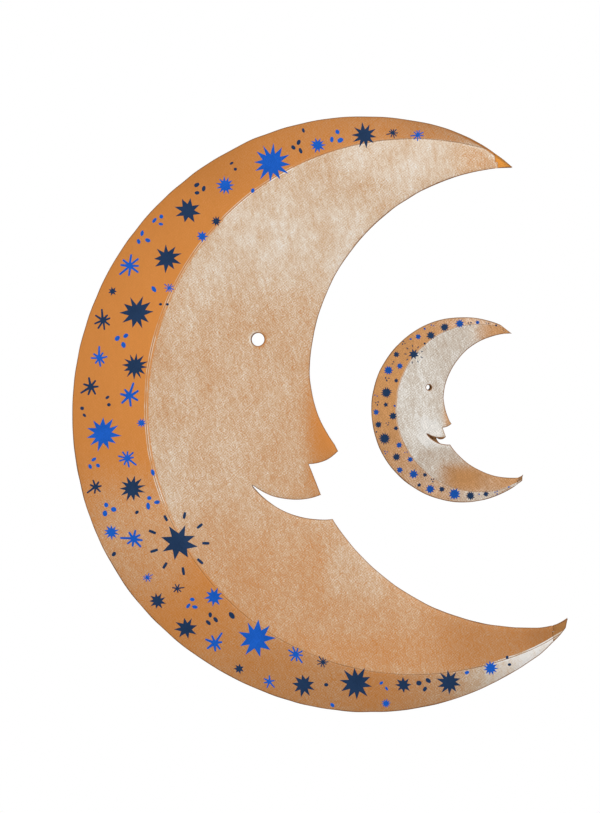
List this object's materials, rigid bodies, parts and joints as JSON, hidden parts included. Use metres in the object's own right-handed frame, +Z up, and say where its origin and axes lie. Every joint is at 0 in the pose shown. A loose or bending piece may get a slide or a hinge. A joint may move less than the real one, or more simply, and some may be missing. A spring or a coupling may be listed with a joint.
{
  "type": "folded card moon decoration",
  "caption": "Folded card crescent moon with a cut-out profile face and round eye, front and back leaves locked by slits at the horns, with a small moon turning in its bay; hangs from its rim.",
  "frame": {"origin": "the point on the large moon's rim, above its centre of mass, from which the moon hangs, half way between its two leaves", "axes": "+Z up the moon as it hangs, +X towards the horn tips, to the viewer's right, +Y away from the viewer"},
  "size_m": [0.234, 0.02, 0.2811],
  "materials": {
    "copper_card": "satin",
    "copper_card_back": "satin",
    "champagne_card": "satin",
    "champagne_card_back": "satin",
    "navy_ink": "satin",
    "blue_ink": "satin"
  },
  "bodies": {
    "large_front": {"large_front_leaf": "copper_card"},
    "large_back": {"large_back_leaf": "copper_card_back"},
    "small_front": {"small_front_leaf": "champagne_card"},
    "small_back": {"small_back_leaf": "champagne_card_back"}
  },
  "joints": [
    {"name": "large_leaf_hinge", "type": "hinge", "parent": "large_front", "child": "large_back", "pos_m": [0.12389, 0, -0.12324], "axis": [0.1204, 0, -0.9927], "range_deg": [0, 80]},
    {"name": "small_moon_turn", "type": "hinge", "parent": "large_front", "child": "small_front", "pos_m": [0.0792, 0, -0.0884], "axis": [0, 0, 1], "continuous": true},
    {"name": "small_leaf_hinge", "type": "hinge", "parent": "small_front", "child": "small_back", "pos_m": [0.11745, 0, -0.12728], "axis": [0.0945, 0, -0.9955], "range_deg": [0, 60]}
  ]
}
